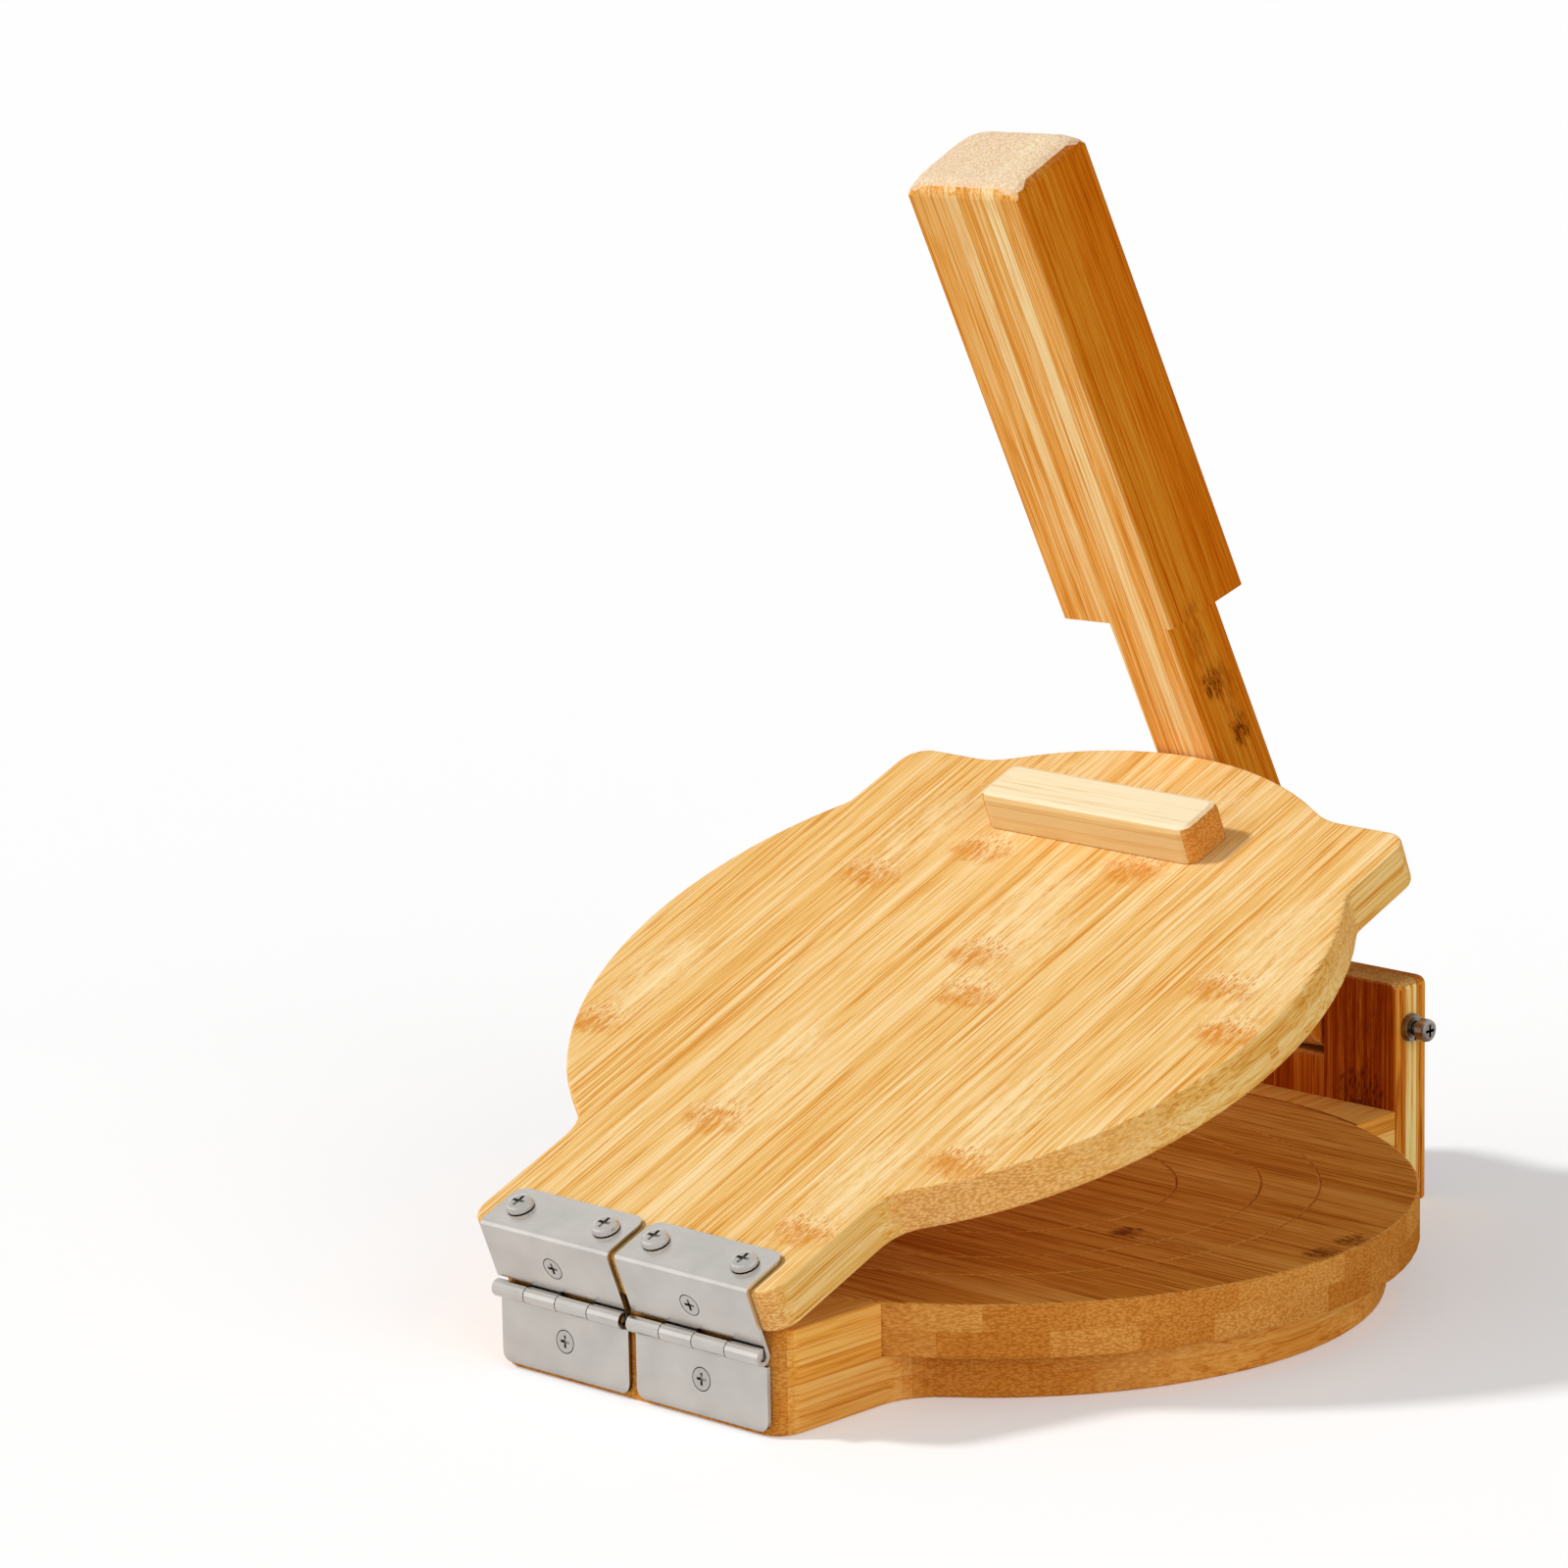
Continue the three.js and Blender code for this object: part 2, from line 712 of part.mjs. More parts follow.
function baseGroup() {
  const below = baseScrews().map(holeFor);
  const behind = uprightScrews().map(holeFor);
  const front = sides.map((side) => holeFor(lowerLeafScrew(side)));
  const base = board(baseOutline(), 0, baseThickness, woodRounding, 0);
  const hingeBlock = board(hingeBlockOutline(), baseThickness, pressTop, 0, woodRounding);
  const yokeBlock = board(yokeBlockOutline(), baseThickness, pressTop, 0, 0);
  const group = new THREE.Group();
  group.add(
    part('base_board', cut(base, ...below, ...behind, ...front), finishes.board),
    part('press_disc', cut(pressDiscBlank(), ...below), finishes.board),
    part('hinge_block', cut(hingeBlock, ...below, ...front), finishes.board),
    part('yoke_block', cut(yokeBlock, ...behind), finishes.board),
    part('upright', upright(), finishes.board),
    ...[...baseScrews(), ...uprightScrews(), ...sides.map(lowerLeafScrew)].map(screwMesh),
    ...sides.map((side) => part(`hinge_${side[0]}_lower_leaf`, lowerLeaf(side), finishes.sheet)),
    ...sides.map(hingePin),
    ...pivotFasteners(),
  );
  return group;
}

// Pivot bolt with its washers and nut, drawn along Z with the head up

function ring(radius, bottom, thickness) {
  const blank = rod(radius, bottom, bottom + thickness);
  return cut(blank, rod(boltRadius + boltClearance, bottom - overrun, bottom + thickness + overrun));
}

function springWasher(bottom) {
  const split = box(springWasherRadius, springWasherSplit, springWasherThickness + 2 * overrun);
  split.translate(springWasherRadius / 2 + boltRadius / 2, 0, bottom + springWasherThickness / 2);
  return cut(ring(springWasherRadius, bottom, springWasherThickness), split);
}

function nut(bottom) {
  const corner = nutAcrossFlats / Math.sqrt(3);
  const hexagon = arc(0, 0, corner, 0, 2 * HALF_TURN, 6).slice(1);
  const bore = rod(boltRadius + boltClearance, bottom - overrun, bottom + nutThickness + overrun);
  return cut(board(hexagon, bottom, bottom + nutThickness), bore);
}

function bolt(headSeat, tail) {
  const spec = {
    headRadius: boltHeadRadius, headHeight: boltHeadHeight, headRounding: boltHeadRounding,
    shankRadius: boltRadius, length: headSeat - tail,
  };
  return screwBody(spec).translate(0, 0, headSeat);
}

function pivotFasteners() {
  const springSeat = yokeHalf + washerThickness;
  const nutSeat = -yokeHalf - washerThickness - nutThickness;
  const shapes = {
    pivot_bolt: bolt(springSeat + springWasherThickness + boltSlack, nutSeat - boltTail),
    pivot_washer_right: ring(washerRadius, yokeHalf, washerThickness),
    pivot_spring_washer: springWasher(springSeat),
    pivot_washer_left: ring(washerRadius, -yokeHalf - washerThickness, washerThickness),
    pivot_nut: nut(nutSeat),
  };
  return Object.entries(shapes).map(([name, shape]) => {
    shape.rotateY(QUARTER_TURN).translate(0, pivotReach, pivotHeight);
    return part(name, shape, finishes.screw);
  });
}

// Lid, drawn closed with the hinge axis as its origin

function lidBoard() {
  const outline = lidOutline().map((p) => new THREE.Vector2(p.x, p.y + hingeAxisReach));
  const blank = board(outline, lidRise, lidSurface, woodRounding, woodRounding);
  const fixings = sides.flatMap((side) => [upperLeafScrew(side), ...flangeScrews(side)]);
  return cut(blank, ...fixings.map(holeFor));
}

function pressureBar() {
  const bottom = lidSurface + glueGap;
  const outline = withoutRepeats(roundedRectangle(barLength, barDepth, barCornerRadius));
  return board(outline, bottom, bottom + barHeight, 0, barRounding)
    .translate(0, hingeAxisReach + barReach + barDepth / 2, 0);
}

function lidGroup() {
  const group = new THREE.Group();
  group.position.set(0, -hingeAxisReach, hingeAxisHeight);
  group.rotation.x = THREE.MathUtils.degToRad(lidOpening);
  group.add(
    part('lid_board', lidBoard(), finishes.lid),
    part('pressure_bar', pressureBar(), finishes.bar),
  );
  for (const side of sides) {
    group.add(part(`hinge_${side[0]}_upper_leaf`, upperLeaf(side), finishes.sheet));
    group.add(...[upperLeafScrew(side), ...flangeScrews(side)].map(screwMesh));
  }
  return group;
}

// Lever, drawn upright with the pivot as its origin

// The lever leans forward until its arm is a hair off the far rim of the open lid.
function leverTilt() {
  const opening = THREE.MathUtils.degToRad(lidOpening);
  const far = hingeAxisReach + lidRadius;
  const reach = armDepth / 2 + leverRestGap;
  const tilts = [lidRise, lidSurface].map((z) => {
    const rim = new THREE.Vector2(far, z).rotateAround(new THREE.Vector2(), opening);
    const back = pivotReach - (rim.x - hingeAxisReach);
    const up = rim.y + hingeAxisHeight - pivotHeight;
    return Math.atan2(back, up) - Math.asin(reach / Math.hypot(back, up));
  });
  return Math.min(...tilts);
}

function leverArm() {
  const half = armDepth / 2;
  const top = gripStart + armRounding + overrun;
  const outline = withoutRepeats([
    ...arc(0, 0, half, -HALF_TURN, 0),
    new THREE.Vector2(half, top),
    new THREE.Vector2(-half, top),
  ]);
  return acrossX(board(outline, -armWidth / 2, armWidth / 2, armRounding, armRounding));
}

function gripRing(depth, radius, z) {
  const outline = roundedRectangle(gripWidth - 2 * depth, gripDepth - 2 * depth, radius, gripCornerSteps);
  return { points: outline, z };
}

// What is cut from the grip so that its shoulder runs down from front to back.
function shoulderCutter() {
  const slope = Math.atan2(gripShoulderDrop, gripDepth);
  const size = 2 * (gripWidth + gripDepth);
  return box(size, size, size).translate(0, 0, -size / 2).rotateX(-slope).translate(0, -armDepth / 2, gripStart);
}

// The grip is flush with the front of the arm. Its end is rounded over.
function leverGrip() {
  const steps = 2 * roundingSteps;
  const end = Array.from({ length: steps + 1 }, (_, i) => {
    const angle = (QUARTER_TURN * i) / steps;
    const depth = gripEndRounding * (1 - Math.cos(angle));
    const z = leverReach - gripEndRounding * (1 - Math.sin(angle));
    return gripRing(depth, THREE.MathUtils.lerp(gripCornerRadius, gripEndCornerRadius, i / steps), z);
  });
  const rings = [gripRing(0, gripCornerRadius, gripStart - gripShoulderDrop - overrun), ...end];
  const x = armWidth / 2 + gripSideStep - gripWidth / 2;
  return cut(skinned(rings).translate(x, (gripDepth - armDepth) / 2, 0), shoulderCutter());
}

function lever() {
  const body = joined(leverArm(), leverGrip()).rotateY(-THREE.MathUtils.degToRad(leverLean));
  const mesh = part('lever', cut(body, pivotHole()), finishes.lever);
  mesh.position.set(0, pivotReach, pivotHeight);
  mesh.rotation.x = leverTilt();
  return mesh;
}

const press = new THREE.Group();
press.add(baseGroup(), lidGroup(), lever());

export default press;
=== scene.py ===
"""A tortilla press: bamboo boards, blocks, bar and lever, two steel hinges and a pivot bolt."""

import json
from math import cos, radians, sin

import bpy
from mathutils import Matrix, Vector


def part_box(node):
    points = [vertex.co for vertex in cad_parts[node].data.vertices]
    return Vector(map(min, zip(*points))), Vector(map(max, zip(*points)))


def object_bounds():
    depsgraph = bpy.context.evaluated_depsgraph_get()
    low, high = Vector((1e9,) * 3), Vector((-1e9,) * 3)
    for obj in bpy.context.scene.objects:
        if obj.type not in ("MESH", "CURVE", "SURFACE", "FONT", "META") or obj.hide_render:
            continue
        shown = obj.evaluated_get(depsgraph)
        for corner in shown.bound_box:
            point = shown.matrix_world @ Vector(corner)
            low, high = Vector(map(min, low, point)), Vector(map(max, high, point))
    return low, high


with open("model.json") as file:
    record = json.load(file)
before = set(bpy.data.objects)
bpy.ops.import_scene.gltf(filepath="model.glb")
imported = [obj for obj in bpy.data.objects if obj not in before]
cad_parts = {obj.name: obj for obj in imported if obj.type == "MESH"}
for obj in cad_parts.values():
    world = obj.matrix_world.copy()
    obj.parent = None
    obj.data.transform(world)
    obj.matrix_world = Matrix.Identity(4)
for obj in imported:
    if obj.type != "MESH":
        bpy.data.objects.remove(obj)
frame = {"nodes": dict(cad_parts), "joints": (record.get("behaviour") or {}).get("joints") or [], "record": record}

CAD_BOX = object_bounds()

# The camera: where it stands round the object, what it looks at and how far it sees, in metres
# and degrees.
VIEW_AZIMUTH = 43.695
VIEW_ELEVATION = 12.498
VIEW_ROLL = -1.024
VIEW_DISTANCE = 1.9644
VIEW_CENTRE = Vector((0, -.0033, .08))
VIEW_RIGHT = -.06043
VIEW_UP = .07051
FOCAL_SHARE = 4.2431
SENSOR_MM = 36

# How the moving pieces stand at rest, in degrees.
LID_OPENING = 21.7
LEVER_TILT = 24.13
LEVER_LEAN = 2.6

# Each lamp: name, where its light comes from, strength, and the angle that it fills, in degrees.
LAMPS = (
    ("key", (-.56, -.49, .67), 1.98, 7),
    ("front_fill", (-.25, -1, .12), .84, 60),
    ("right_fill", (1, -.2, .3), 1.02, 50),
)
FILL_STRENGTH = .3

# Metal reflects white up to the first of two heights, as shares of the way up, and a greyer sky
# from the second on.
BAND_HEIGHTS = (.3, .64)
SKY_SHARE = .6

# The floor, with its reach in metres.
FLOOR_REACH = 60
FLOOR_TONE = (.8, .8, .8, 1)
FLOOR_ROUGHNESS = .9
FLOOR_GLOW = .3

WHITE = (1, 1, 1, 1)
X_AXIS, Y_AXIS, Z_AXIS = Vector((1, 0, 0)), Vector((0, 1, 0)), Vector((0, 0, 1))
MM = 1000
FAR = 4000


def colour(red, green, blue):
    """A linear colour from one written as the eye sees it, 0 to 255."""
    def linear(value):
        value /= 255
        return value / 12.92 if value <= .04045 else ((value + .055) / 1.055) ** 2.4
    return (linear(red), linear(green), linear(blue), 1)


class Nodes:
    """A node tree, with a short call for each kind of node in use."""

    def __init__(self, tree):
        self.tree = tree

    def add(self, kind, inputs=None, **settings):
        node = self.tree.nodes.new(kind)
        for key, value in settings.items():
            setattr(node, key, value)
        for key, value in (inputs or {}).items():
            self.feed(node.inputs[key], value)
        return node

    def feed(self, socket, value):
        if isinstance(value, bpy.types.NodeSocket):
            self.tree.links.new(value, socket)
        else:
            socket.default_value = value

    def math(self, operation, first, second=0, third=0, clamp=False):
        inputs = {0: first, 1: second, 2: third}
        return self.add("ShaderNodeMath", inputs, operation=operation, use_clamp=clamp).outputs[0]

    def product(self, *values):
        result, *rest = values
        for value in rest:
            result = self.math("MULTIPLY", result, value)
        return result

    def vector(self, operation, first, second=(0, 0, 0)):
        node = self.add("ShaderNodeVectorMath", {0: first, 1: second}, operation=operation)
        return node.outputs["Value" if operation in ("DOT_PRODUCT", "LENGTH") else "Vector"]

    def millimetres(self, metres):
        node = self.add("ShaderNodeVectorMath", {0: metres}, operation="SCALE")
        node.inputs["Scale"].default_value = MM
        return node.outputs["Vector"]

    def noise(self, where, detail=2, roughness=.5):
        inputs = {"Vector": where, "Scale": 1, "Detail": detail, "Roughness": roughness}
        return self.add("ShaderNodeTexNoise", inputs).outputs["Fac"]

    def chance(self, where):
        return self.add("ShaderNodeTexWhiteNoise", {"Vector": where}).outputs["Value"]

    def span(self, value, low, high, to_low=0, to_high=1):
        """Eases from to_low to to_high as value goes from low to high."""
        inputs = {"Value": value, "From Min": low, "From Max": high, "To Min": to_low, "To Max": to_high}
        return self.add("ShaderNodeMapRange", inputs, interpolation_type="SMOOTHSTEP").outputs["Result"]

    def centred(self, value, strength, start):
        """Adds a 0 to 1 pattern to start, so that its middle changes nothing."""
        return self.math("MULTIPLY_ADD", self.math("SUBTRACT", value, .5), strength, start)

    def blend(self, share, first, second, how="MIX"):
        node = self.add("ShaderNodeMix", data_type="RGBA", blend_type=how)
        for key, value in ((0, share), (6, first), (7, second)):
            self.feed(node.inputs[key], value)
        return node.outputs[2]

    def ramp(self, value, *colours):
        node = self.add("ShaderNodeValToRGB", {"Fac": value})
        stops = node.color_ramp.elements
        while len(stops) < len(colours):
            stops.new(.5)
        for number, tone in enumerate(colours):
            stops[number].position = number / (len(colours) - 1)
            stops[number].color = tone
        return node.outputs["Color"]


class Shader(Nodes):
    """One material's nodes and its surface."""

    def __init__(self, name):
        self.material = bpy.data.materials.new(name)
        self.material.use_nodes = True
        super().__init__(self.material.node_tree)
        self.surface = self.tree.nodes["Principled BSDF"].inputs

    def finish(self, tone, roughness, relief, depth):
        self.feed(self.surface["Base Color"], tone)
        self.feed(self.surface["Roughness"], roughness)
        bump = self.add("ShaderNodeBump", {"Height": relief, "Strength": 1, "Distance": depth})
        self.feed(self.surface["Normal"], bump.outputs["Normal"])
        return self.material


def grain_frame(along, through, origin):
    """From the scene, in metres, to millimetres with Y along the grain and Z through the plies."""
    rows = Matrix((along.cross(through), along, through))
    return Matrix.Scale(MM, 4) @ rows.to_4x4() @ Matrix.Translation(-origin)


def tilted(vector, degrees, axis="X"):
    return Matrix.Rotation(radians(degrees), 3, axis) @ vector


# Bamboo is strips glued side by side in plies, with fibres along them. Sizes are in mm, and those
# in brackets are across, along and, where there is a third, through the grain.
STRIP_WIDTH = 21
STRIP_STAGGER_SHARE = .37
STRIP_SHIFT = (37.3, 91.7, 53.1)
FIBRE = (.65, 75)
DASH = (.7, 24)
STREAK = (4.5, 420)
LINE = (2.2, 330)
PORE = (1.05, 25, .55)
GLUE_LINE = .3

# How deep the tone of the wood is where nothing darkens it, from 0 to 1, and how much each of its
# patterns can add.
PALE_START = .33
FIBRE_DEPTH = 1.9
DASH_DEPTH = .36
STREAK_DEPTH = 1.2
STRIP_DEPTH = .34
LINE_DEPTH = .5
PALE_PLY_DEPTH = -.42
GLUE_SHARE = .6

# Where in the range of a pattern its marks begin and are full.
DASH_RANGE = (.5, .66)
LINE_RANGE = (.04, 0)
LINED_STREAK_RANGE = (.4, .6)
END_BLOCK_RANGE = (.3, 1)
PORE_RANGE = (.25, .75)

# How squarely a surface faces through the plies or across the strips to count as broad or narrow.
BROAD_RANGE = (.5, .8)
NARROW_RANGE = (.5, .9)

# A node is where a strip crosses a joint of the cane. A torn fan of fibres runs from its core, a
# torn stain lies behind it, and dark dashes lie over the core. Fineness is in waves in a mm across,
# along and through the grain.
NODE_SIZE = (25, 14)
NODE_EDGE_RANGE = (1.15, .45)
NODE_EDGE_RAGGEDNESS = 1.9
EDGE_FINENESS = (1 / 3.4, .6 / 3.4, 1 / 3.4)
TEAR_FINENESS = (.8, .13, .8)
TEAR_RANGE = (.36, .6)
NODE_DASH_FINENESS = (1.5, .33, 1.5)
NODE_DASH_RANGE = (.52, .6)
FAN_LENGTH_SHARE = 3.4
FAN_AHEAD_SHARE = .5
FAN_STRENGTH = .5
CORE_STRENGTH = .4
STAIN_LENGTH_SHARE = .9
STAIN_AHEAD_SHARE = -.35
STAIN_STRENGTH = .8
NODE_DASH_STRENGTH = .9

WOOD_ROUGHNESS = .5
WOOD_ROUGHNESS_CHANGE = .2
WOOD_RELIEF = .00006


class Grain:
    """Where a point lies in the wood, in mm, and which strip of which ply holds it."""

    def __init__(self, shader, to_grain, ply, seed):
        self.shader = shader
        self.ply = ply
        self.axes = to_grain.to_3x3().normalized()
        source = shader.add("ShaderNodeTexCoord").outputs
        self.normal = source["Normal"]
        mapping = shader.add("ShaderNodeMapping", {"Vector": shader.millimetres(source["Object"])})
        mapping.inputs["Location"].default_value = to_grain.translation
        mapping.inputs["Rotation"].default_value = self.axes.to_euler("XYZ")
        self.where = mapping.outputs["Vector"]
        across, _, self.through = shader.add("ShaderNodeSeparateXYZ", {0: self.where}).outputs
        self.layer = shader.math("FLOOR", shader.math("DIVIDE", self.through, ply))
        shifted = shader.math("MULTIPLY_ADD", self.layer, STRIP_WIDTH * STRIP_STAGGER_SHARE, across)
        column = shader.math("FLOOR", shader.math("DIVIDE", shifted, STRIP_WIDTH))
        self.strip = shader.add("ShaderNodeCombineXYZ", {0: column, 1: self.layer, 2: seed}).outputs[0]
        self.in_strip = shader.vector("ADD", self.where, shader.vector("MULTIPLY", self.strip, STRIP_SHIFT))

    def facing(self, row, low, high):
        """0 to 1 as the surface turns to an axis of the grain: 0 across, 1 along, 2 through."""
        share = self.shader.vector("DOT_PRODUCT", self.normal, tuple(self.axes[row]))
        return self.shader.span(self.shader.math("ABSOLUTE", share), low, high)

    def stretched(self, size, detail):
        """A pattern of a size across and along the grain, which starts anew in each strip."""
        across, along = size
        place = self.shader.vector("MULTIPLY", self.in_strip, (1 / across, 1 / along, 1 / across))
        return self.shader.noise(place, detail=detail, roughness=.6)

    def torn(self, fineness, limits, detail):
        """0 to 1 in a pattern that runs on from strip to strip."""
        place = self.shader.vector("MULTIPLY", self.where, fineness)
        return self.shader.span(self.shader.noise(place, detail=detail, roughness=.7), *limits)

    def patches(self, places, size, ahead_share=0):
        """0 to 1 in soft ragged patches, each set ahead of its place by a share of its length."""
        shader = self.shader
        width, length = size
        ragged = shader.noise(shader.vector("MULTIPLY", self.where, EDGE_FINENESS), detail=4, roughness=.75)
        nearest = FAR
        for across, along in places:
            offset = shader.vector("SUBTRACT", self.where, (across, along + ahead_share * length, 0))
            share = shader.vector("MULTIPLY", offset, (2 / width, 2 / length, 0))
            nearest = shader.math("MINIMUM", nearest, shader.vector("LENGTH", share))
        return shader.span(shader.centred(ragged, NODE_EDGE_RAGGEDNESS, nearest), *NODE_EDGE_RANGE)


def strip_depth(grain, fibre, contrast, bands, ply_contrast, pale_ply):
    """How deep the tone of the strips is, from 0 to 1."""
    shader = grain.shader
    dash = grain.stretched(DASH, detail=1)
    streak = grain.stretched(STREAK, detail=3)
    line = grain.stretched(LINE, detail=1)
    thin = shader.span(shader.math("ABSOLUTE", shader.math("SUBTRACT", line, .5)), *LINE_RANGE)
    thin = shader.product(thin, shader.span(streak, *LINED_STREAK_RANGE))
    depth = shader.centred(fibre, FIBRE_DEPTH * contrast, PALE_START)
    depth = shader.math("MULTIPLY_ADD", shader.span(dash, *DASH_RANGE), DASH_DEPTH * contrast, depth)
    depth = shader.centred(streak, STREAK_DEPTH * contrast * bands, depth)
    depth = shader.centred(shader.chance(grain.strip), STRIP_DEPTH * contrast, depth)
    if pale_ply is not None:
        in_pale_ply = shader.math("COMPARE", grain.layer, pale_ply, .5)
        depth = shader.math("MULTIPLY_ADD", in_pale_ply, PALE_PLY_DEPTH, depth)
    depth = shader.math("MULTIPLY_ADD", thin, LINE_DEPTH * contrast, depth)
    depth = shader.centred(shader.math("PINGPONG", grain.layer, 1), -ply_contrast, depth)
    return shader.math("ADD", depth, 0, clamp=True)


def with_nodes(grain, tone, broad, places, size, stain_tone, core_tone):
    """Draws the cane's nodes at their places on the broad faces."""
    shader = grain.shader
    width, length = size
    torn = grain.torn(TEAR_FINENESS, TEAR_RANGE, detail=3)
    dashes = grain.torn(NODE_DASH_FINENESS, NODE_DASH_RANGE, detail=2)
    core = grain.patches(places, size)
    fan = grain.patches(places, (width, length * FAN_LENGTH_SHARE), FAN_AHEAD_SHARE)
    stain = grain.patches(places, (width, length * STAIN_LENGTH_SHARE), STAIN_AHEAD_SHARE)
    for shown, strength, fresh in (
            (shader.product(fan, torn), FAN_STRENGTH, core_tone),
            (core, CORE_STRENGTH, core_tone),
            (shader.product(stain, torn), STAIN_STRENGTH, stain_tone),
            (shader.product(core, dashes), NODE_DASH_STRENGTH, stain_tone)):
        tone = shader.blend(shader.product(shown, broad, strength), tone, fresh)
    return tone


def with_glue_lines(grain, tone, broad, glue_tone):
    """Draws a line between two plies, on all but the broad faces."""
    shader = grain.shader
    place = shader.math("FRACT", shader.math("DIVIDE", grain.through, grain.ply))
    from_middle = shader.math("ABSOLUTE", shader.math("SUBTRACT", place, .5))
    line = shader.span(from_middle, .5 - GLUE_LINE / grain.ply, .5, 0, GLUE_SHARE)
    return shader.blend(shader.product(line, shader.math("SUBTRACT", 1, broad)), tone, glue_tone)


def bamboo(name, to_grain, tones, end_tone, broad_grain_and_shade_tone=None, pore_tone=colour(226, 204, 176), edge_tone=None,
           ply=5.3, ply_contrast=.3, pale_ply=None, nodes=(), node_tone=None, core_tone=None,
           node_size=NODE_SIZE, contrast=1, bands=1, end_share=.8, end_range=(.2, .7), end_wear=.3,
           end_blocks=.5, seed=0):
    """Laminated bamboo. tones run from pale to deep; the broad faces' tint is painted shade, on some pieces
    also their face grain's deeper colour, and edge_tone tints the narrow ones. ply is a thickness in mm, and
    pale_ply the number of a paler one. The end grain shows as the surface turns to it through end_range, is
    broken by end_wear and has paler end_blocks."""
    shader = Shader(name)
    grain = Grain(shader, to_grain, ply, seed)
    fibre = grain.stretched(FIBRE, detail=3)
    broad = grain.facing(2, *BROAD_RANGE)
    tone = shader.ramp(strip_depth(grain, fibre, contrast, bands, ply_contrast, pale_ply), *tones)
    if nodes:
        tone = with_nodes(grain, tone, broad, nodes, node_size, node_tone, core_tone)
    tone = with_glue_lines(grain, tone, broad, tones[2])
    # The broad faces are darkened with painted shade; on some pieces this also gives their face grain its deeper
    # colour.
    if broad_grain_and_shade_tone:
        tone = shader.blend(broad, tone, broad_grain_and_shade_tone, "MULTIPLY")
    if edge_tone:
        tone = shader.blend(grain.facing(0, *NARROW_RANGE), tone, edge_tone, "MULTIPLY")

    wear = shader.centred(fibre, end_wear, 1)
    end = shader.math("MULTIPLY", grain.facing(1, *end_range), wear, clamp=True)
    pale_share = shader.product(shader.span(shader.chance(grain.strip), *END_BLOCK_RANGE), end_blocks)
    tone = shader.blend(shader.product(end, end_share), tone, shader.blend(pale_share, end_tone, tones[0]))
    cells = shader.vector("MULTIPLY", grain.in_strip, tuple(1 / side for side in PORE))
    pores = shader.add("ShaderNodeTexVoronoi", {"Vector": cells, "Scale": 1}).outputs["Distance"]
    tone = shader.blend(shader.product(end, shader.span(pores, *PORE_RANGE)), tone, pore_tone, "MULTIPLY")

    shader.surface["Specular IOR Level"].default_value = 0
    roughness = shader.math("MULTIPLY_ADD", fibre, WOOD_ROUGHNESS_CHANGE, WOOD_ROUGHNESS)
    return shader.finish(tone, roughness, shader.math("MULTIPLY_ADD", end, pores, fibre), WOOD_RELIEF)


# Satin steel. Fineness is in waves in a mm.
SCRATCH_FINENESS = 5
SCRATCH_CONTRAST = .5
CLOUD_FINENESS = .09
CLOUD_CONTRAST = .8
DULL_SHARE = .7
# Painted shade: the steel darkens to this tone in nooks, as far as ambient occlusion finds them.
NOOK_SHADE_TONE = colour(44, 39, 36)
NOOK_SHADE_RANGE = (.15, .8)
STEEL_ROUGHNESS_CHANGE = .12
STEEL_RELIEF = .00002


def steel(name, tone, roughness, scratch_length, shade_reach):
    """Satin steel, with scratches of a length in mm along X, and painted shade in nooks up to a reach in metres.
    """
    shader = Shader(name)
    where = shader.millimetres(shader.add("ShaderNodeTexCoord").outputs["Object"])
    fineness = (1 / scratch_length, SCRATCH_FINENESS, SCRATCH_FINENESS)
    scratches = shader.noise(shader.vector("MULTIPLY", where, fineness), detail=4, roughness=.7)
    clouds = shader.noise(shader.vector("MULTIPLY", where, (CLOUD_FINENESS,) * 3))
    shade = shader.centred(clouds, CLOUD_CONTRAST, shader.centred(scratches, SCRATCH_CONTRAST, .5))
    dull = tuple(part * DULL_SHARE for part in tone[:3]) + (1,)
    # Painted shade in nooks, from ambient occlusion.
    occlusion = shader.add("ShaderNodeAmbientOcclusion", {"Distance": shade_reach}, samples=8)
    unshaded_share = shader.span(occlusion.outputs["AO"], *NOOK_SHADE_RANGE)
    shown = shader.blend(unshaded_share, NOOK_SHADE_TONE, shader.ramp(shade, dull, tone))
    shader.surface["Metallic"].default_value = 1
    rough = shader.math("MULTIPLY_ADD", scratches, STEEL_ROUGHNESS_CHANGE, roughness)
    return shader.finish(shown, rough, scratches, STEEL_RELIEF)


# Where nodes cross the strips, across and along the grain, in mm. On the lid they are counted from
# the middle of the hinges' axis, on the lever from the pivot, and elsewhere from the low corner of
# the piece's box.
LID_NODES = (
    (-94, 101), (-62, 193), (-34, 214), (-19, 71), (5, 166), (15, 147), (23, 218), (48, 34), (71, 76),
    (92, 173), (108, 154),
)
PRESS_NODES = ((-129, 247), (-145, 245), (-109, 190))
UPRIGHT_NODES = ((-70, 31),)
LEVER_NODES = ((-2, 124), (3, 104))

# From the hinge's axis to the middle of the bar, square to the lid, in metres.
BAR_RISE = .0209


def resting_grain(node, along, through):
    """The grain of a piece that doesn't move, counted from the low corner of its box."""
    return grain_frame(along, through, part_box(node)[0])


